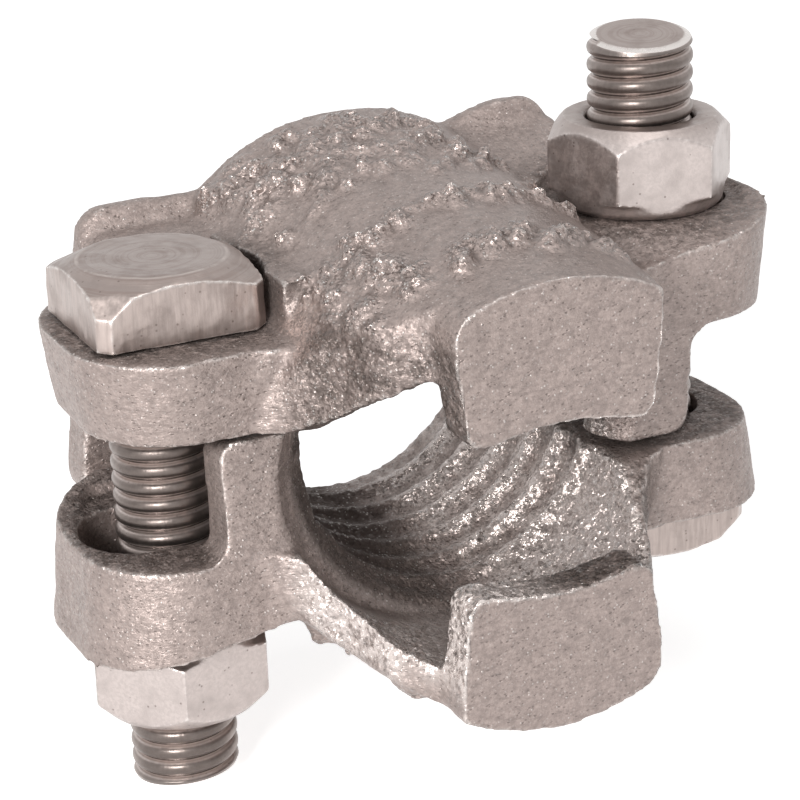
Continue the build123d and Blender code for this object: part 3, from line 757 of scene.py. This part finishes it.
class CLAMP_OT_bolts(bpy.types.Operator):
    """Models the two square-head bolts with their rolled threads"""
    bl_idname = "hose_clamp.bolts"
    bl_label = "Square-head bolts"

    def execute(self, context):
        sizes = context.scene.clamp_bolts
        rod = self.thread(sizes)
        head = self.head(sizes)
        seat = HEAD_TOP - sizes.head_height
        shank = cylinder(sizes.major * 0.97, sizes.thread_top - 1.0 * MM, seat + 1.0 * MM, -BOLT_X)
        bolt = combine(combine(head, shank, "UNION"), rod, "UNION")
        finish_modifier(bolt, "TRIANGULATE")
        take(bolt)
        bpy.ops.object.shade_smooth_by_angle(angle=math.radians(35))
        edge_values(bolt)
        material = bolt_finish(sizes, "plated_bolt", True, crest=sizes.major / MM)
        for name, node, body, matrix in (("square_bolt_left", "left_bolt", "upper", None),
                                         ("square_bolt_right", "right_bolt", "lower", HALF_TURN)):
            place_piece(copied(bolt, name, matrix), material, body, node)
        bpy.data.objects.remove(bolt)
        return {"FINISHED"}

    def thread(self, sizes):
        """The threaded rod, cut to length by its tip."""
        rod = self.wound(sizes)
        take(rod)
        bpy.ops.object.mode_set(mode="EDIT")
        bpy.ops.mesh.select_all(action="SELECT")
        bpy.ops.mesh.remove_doubles(threshold=0.01 * MM)
        for height, outward in ((BOLT_END - 0.6 * MM, -1), (sizes.thread_top, 1)):
            bpy.ops.mesh.select_all(action="SELECT")
            bpy.ops.mesh.bisect(plane_co=(0, 0, height), plane_no=(0, 0, outward), use_fill=True, clear_outer=True)
        bpy.ops.mesh.select_all(action="SELECT")
        bpy.ops.mesh.normals_make_consistent(inside=False)
        bpy.ops.object.mode_set(mode="OBJECT")
        rod.data.transform(Matrix.Translation((-BOLT_X, 0, 0)))
        return combine(rod, self.tip(sizes), "INTERSECT")

    def wound(self, sizes):
        """One tooth of the thread, a rounded crest between narrow roots, wound up the bolt's length."""
        root, crest = sizes.major - sizes.depth, sizes.major
        tooth = [(0.0, 0.0), (0.035, 0.06), (0.09, 0.34), (0.16, 0.62), (0.25, 0.84), (0.37, 0.96), (0.50, 1.0),
                 (0.63, 0.96), (0.75, 0.84), (0.84, 0.62), (0.91, 0.34), (0.965, 0.06), (1.0, 0.0)]
        start = BOLT_END - 1.5 * sizes.pitch
        points = [(root + (crest - root) * rise, 0, start + along * sizes.pitch) for along, rise in tooth]
        mesh = bpy.data.meshes.new("tooth")
        mesh.from_pydata(points, [(i, i + 1) for i in range(len(points) - 1)], [])
        rod = bpy.data.objects.new("rod", mesh)
        bpy.context.scene.collection.objects.link(rod)
        finish_modifier(rod, "SCREW", axis="Z", angle=math.tau, steps=56, render_steps=56,
                        iterations=math.ceil((sizes.thread_top - BOLT_END) / sizes.pitch) + 3,
                        screw_offset=sizes.pitch, use_merge_vertices=True, merge_threshold=0.01 * MM)
        return rod

    def tip(self, sizes):
        """A rod that the thread is cut to: its end bevelled, and sheared a little out of square."""
        tip = cylinder(sizes.major + 0.02 * MM, BOLT_END, sizes.thread_top + 2 * MM, -BOLT_X)
        select_edges(tip, lambda a, b: a.z < BOLT_END + 1e-6 and b.z < BOLT_END + 1e-6)
        bpy.ops.mesh.bevel(offset=0.9 * MM, segments=2, affect="EDGES")
        select_faces(tip, lambda c, n: n.z < -0.99)
        bpy.ops.mesh.inset(thickness=0.25 * MM, depth=0)
        bpy.ops.mesh.inset(thickness=0.9 * MM, depth=0)
        bpy.ops.object.mode_set(mode="OBJECT")
        slope = math.tan(sizes.shear)
        slant = Matrix.Identity(4)
        slant[2][0], slant[2][1] = BACK_X * slope, -BACK_Y * slope
        slant[2][3] = (BACK_X * BOLT_X + sizes.major) * slope
        tip.data.transform(slant)
        return tip

    def head(self, sizes):
        """A square block, its corners bevelled, turned to a dome with a flat ring, rubbed round and dented."""
        seat = HEAD_TOP - sizes.head_height
        clear_selection()
        bpy.ops.mesh.primitive_cube_add(size=1, location=(-BOLT_X, 0, (seat + HEAD_TOP) / 2),
                                        scale=(HEAD_WIDTH, HEAD_WIDTH, sizes.head_height))
        block = settle(bpy.context.object)
        select_edges(block, lambda a, b: abs(a.z - b.z) > 1e-4)
        bpy.ops.mesh.bevel(offset=sizes.head_corner, segments=1, affect="EDGES")
        bpy.ops.object.mode_set(mode="OBJECT")
        outer = sizes.ring + 8 * MM
        lathe = cylinder(outer, seat - 1 * MM, HEAD_TOP - sizes.dome, -BOLT_X, sides=160)
        select_faces(lathe, lambda c, n: n.z > 0.9)
        draw_out(-BOLT_X, sizes.dome, sizes.ring / outer)
        bpy.ops.object.mode_set(mode="OBJECT")
        block = combine(block, lathe, "INTERSECT")
        select_faces(block, lambda c, n: n.z > 0.99 and c.z > HEAD_TOP - 1e-5)
        bpy.ops.mesh.inset(thickness=0.35 * MM, depth=-0.10 * MM)
        bpy.ops.mesh.inset(thickness=0.25 * MM, depth=0.07 * MM)
        bpy.ops.object.mode_set(mode="OBJECT")
        # the head's front left corner is knocked off
        corner = Vector((-BOLT_X - HEAD_WIDTH / 2, -HEAD_WIDTH / 2, HEAD_TOP - sizes.dome / 2))
        corner = corner + Vector((1.3, 0.75, -0.7)) * MM
        take(block)
        bpy.ops.object.mode_set(mode="EDIT")
        bpy.ops.mesh.select_all(action="SELECT")
        bpy.ops.mesh.bisect(plane_co=corner, plane_no=Vector((-0.5, -0.62, 0.60)).normalized(), use_fill=True,
                            clear_outer=True)
        bpy.ops.object.mode_set(mode="OBJECT")
        finish_modifier(block, "BEVEL", width=0.24 * MM, segments=2, limit_method="ANGLE",
                        angle_limit=math.radians(28))
        finish_modifier(block, "REMESH", mode="VOXEL", voxel_size=0.24 * MM)
        finish_modifier(block, "SMOOTH", factor=0.5, iterations=3)
        textured(block, "head_dents", "CLOUDS", 2.6 * MM, 0.22 * MM, mid=1.0, noise_depth=2)
        return block


class CLAMP_OT_nuts(bpy.types.Operator):
    """Models the two hexagon nuts"""
    bl_idname = "hose_clamp.nuts"
    bl_label = "Hexagon nuts"

    def execute(self, context):
        sizes = context.scene.clamp_nuts
        nut = combine(self.hexagon(sizes), self.barrel(sizes), "INTERSECT")
        nut = combine(nut, self.drill(sizes), "DIFFERENCE")
        finish_modifier(nut, "REMESH", mode="VOXEL", voxel_size=0.20 * MM)
        finish_modifier(nut, "SMOOTH", factor=0.5, iterations=4)
        textured(nut, "nut_dents", "CLOUDS", 3.0 * MM, 0.14 * MM, mid=1.0, noise_depth=2)
        take(nut)
        bpy.ops.object.shade_smooth_by_angle(angle=math.radians(35))
        edge_values(nut)
        material = bolt_finish(sizes, "plated_nut", False, bore=sizes.bore / MM)
        for name, body, matrix in (("hex_nut_right", "right_nut", None), ("hex_nut_left", "left_nut", HALF_TURN)):
            place_piece(copied(nut, name, matrix), material, body, body)
        bpy.data.objects.remove(nut)
        return {"FINISHED"}

    def hexagon(self, sizes):
        """The bar of hexagon section that the nut is cut from."""
        clear_selection()
        bpy.ops.mesh.primitive_cylinder_add(vertices=6, radius=sizes.flats / math.sqrt(3), depth=NUT_TOP - NUT_SEAT,
                                            location=(BOLT_X, 0, (NUT_SEAT + NUT_TOP) / 2),
                                            rotation=(0, 0, sizes.turn + math.radians(30)))
        return settle(bpy.context.object)

    def barrel(self, sizes):
        """The turned shape that takes the hexagon's corners off: a bevel above and a rounded foot."""
        outer = sizes.face + 4 * MM
        barrel = cylinder(outer, NUT_SEAT + sizes.round * 1.55, NUT_TOP - sizes.bevel, BOLT_X, sides=160)
        select_faces(barrel, lambda c, n: n.z > 0.9)
        draw_out(BOLT_X, sizes.bevel, sizes.face / outer)
        bpy.ops.object.mode_set(mode="OBJECT")
        select_faces(barrel, lambda c, n: n.z < -0.9)
        for fall, inner, wide in ((0.60, 9.0 * MM, outer), (0.60, 8.7 * MM, 9.0 * MM), (0.35, 8.2 * MM, 8.7 * MM)):
            draw_out(BOLT_X, -sizes.round * fall, inner / wide)
        bpy.ops.object.mode_set(mode="OBJECT")
        return barrel

    def drill(self, sizes):
        """The hole with its countersinks, drawn out past both ends."""
        drill = cylinder(sizes.bore, NUT_SEAT + sizes.sink, NUT_TOP - sizes.sink, BOLT_X)
        depth = sizes.sink + 0.2 * MM
        for way in (1, -1):
            select_faces(drill, lambda c, n: n.z * way > 0.9)
            draw_out(BOLT_X, way * depth, 1 + depth / sizes.bore)
        bpy.ops.object.mode_set(mode="OBJECT")
        return drill


class CLAMP_OT_stage(bpy.types.Operator):
    """Sets up the floor, the soft lights and the camera"""
    bl_idname = "hose_clamp.stage"
    bl_label = "Stage"

    def execute(self, context):
        scene = context.scene
        scene.view_settings.view_transform = "Standard"
        self.floor()
        self.world(scene)
        for name, place, size, power, tint in LAMPS:
            lamp = bpy.data.lights.new(name, "AREA")
            lamp.shape, lamp.size, lamp.energy, lamp.color = "SQUARE", size, power, tint
            holder = bpy.data.objects.new(name, lamp)
            turned = Vector(place).to_track_quat("Z", "Y").to_matrix().to_4x4()  # its -Z looks at the middle
            holder.matrix_world = Matrix.Translation(place) @ turned
            scene.collection.objects.link(holder)
        scene.camera = self.camera(scene)
        return {"FINISHED"}

    def camera(self, scene):
        """The camera, placed from the middle by its turn, rise and roll."""
        lens = bpy.data.cameras.new("camera")
        lens.sensor_width, lens.lens, lens.clip_start = CAMERA_FILM, CAMERA_LENS, CAMERA_NEAR
        camera = bpy.data.objects.new("camera", lens)
        az, el, roll = CAMERA_TURN, CAMERA_RISE, CAMERA_ROLL
        back = Vector((-math.sin(az) * math.cos(el), -math.cos(az) * math.cos(el), math.sin(el)))
        right = Vector((math.cos(az), -math.sin(az), 0))
        up = back.cross(right)
        right, up = (right * math.cos(roll) + up * math.sin(roll), up * math.cos(roll) - right * math.sin(roll))
        eye = (right * CAMERA_RIGHT + up * CAMERA_UP + back * CAMERA_BACK) * MM
        camera.matrix_world = Matrix.Translation(eye) @ Matrix((right, up, back)).transposed().to_4x4()
        scene.collection.objects.link(camera)
        return camera

    def floor(self):
        """A matt floor under the clamp, with room for its skin."""
        clear_selection()
        bpy.ops.mesh.primitive_plane_add(size=4, location=(0, 0, CAD_BOX[0][2] - 0.1 * MM))
        floor = settle(bpy.context.object, "floor")
        f = Finish("pale_floor")
        f.use(Base_Color=(0.85, 0.85, 0.85), Roughness=0.9, Emission_Color=f.white_to_eye((0.0, 0.0, 0.0)),
              Emission_Strength=0.78)
        floor.data.materials.append(f.material)

    def world(self, scene):
        """A dim even light from all round."""
        scene.world = bpy.data.worlds.new("studio")
        scene.world.use_nodes = True
        graph = Graph(scene.world.node_tree)
        graph.feed(graph.tree.nodes["Background"].inputs["Color"], graph.white_to_eye((0.13, 0.13, 0.13)))


class CLAMP_PT_panel(bpy.types.Panel):
    """The clamp's buttons and settings in the sidebar"""
    bl_idname = "CLAMP_PT_panel"
    bl_label = "Hose clamp"
    bl_space_type = "VIEW_3D"
    bl_region_type = "UI"
    bl_category = "Hose clamp"

    def draw(self, context):
        """A button per operator, then the sizes and colours of every group."""
        for operator in OPERATORS:
            self.layout.operator(operator.bl_idname)
        for group in GROUPS:
            sizes = getattr(context.scene, group)
            for name in sizes.bl_rna.properties.keys():
                if name not in ("rna_type", "name"):
                    self.layout.prop(sizes, name)


OPERATORS = (CLAMP_OT_castings, CLAMP_OT_bolts, CLAMP_OT_nuts, CLAMP_OT_stage)
GROUPS = {"clamp_castings": CastingSizes, "clamp_bolts": BoltSizes, "clamp_nuts": NutSizes}
CLASSES = (*GROUPS.values(), *OPERATORS, CLAMP_PT_panel)


def register():
    for item in CLASSES:
        bpy.utils.register_class(item)
    for name, group in GROUPS.items():
        setattr(bpy.types.Scene, name, PointerProperty(type=group))


def unregister():
    for name in GROUPS:
        delattr(bpy.types.Scene, name)
    for item in reversed(CLASSES):
        bpy.utils.unregister_class(item)


def main():
    register()
    bpy.ops.hose_clamp.castings()
    bpy.ops.hose_clamp.bolts()
    bpy.ops.hose_clamp.nuts()
    bpy.ops.hose_clamp.stage()


if __name__ == "__main__":
    main()
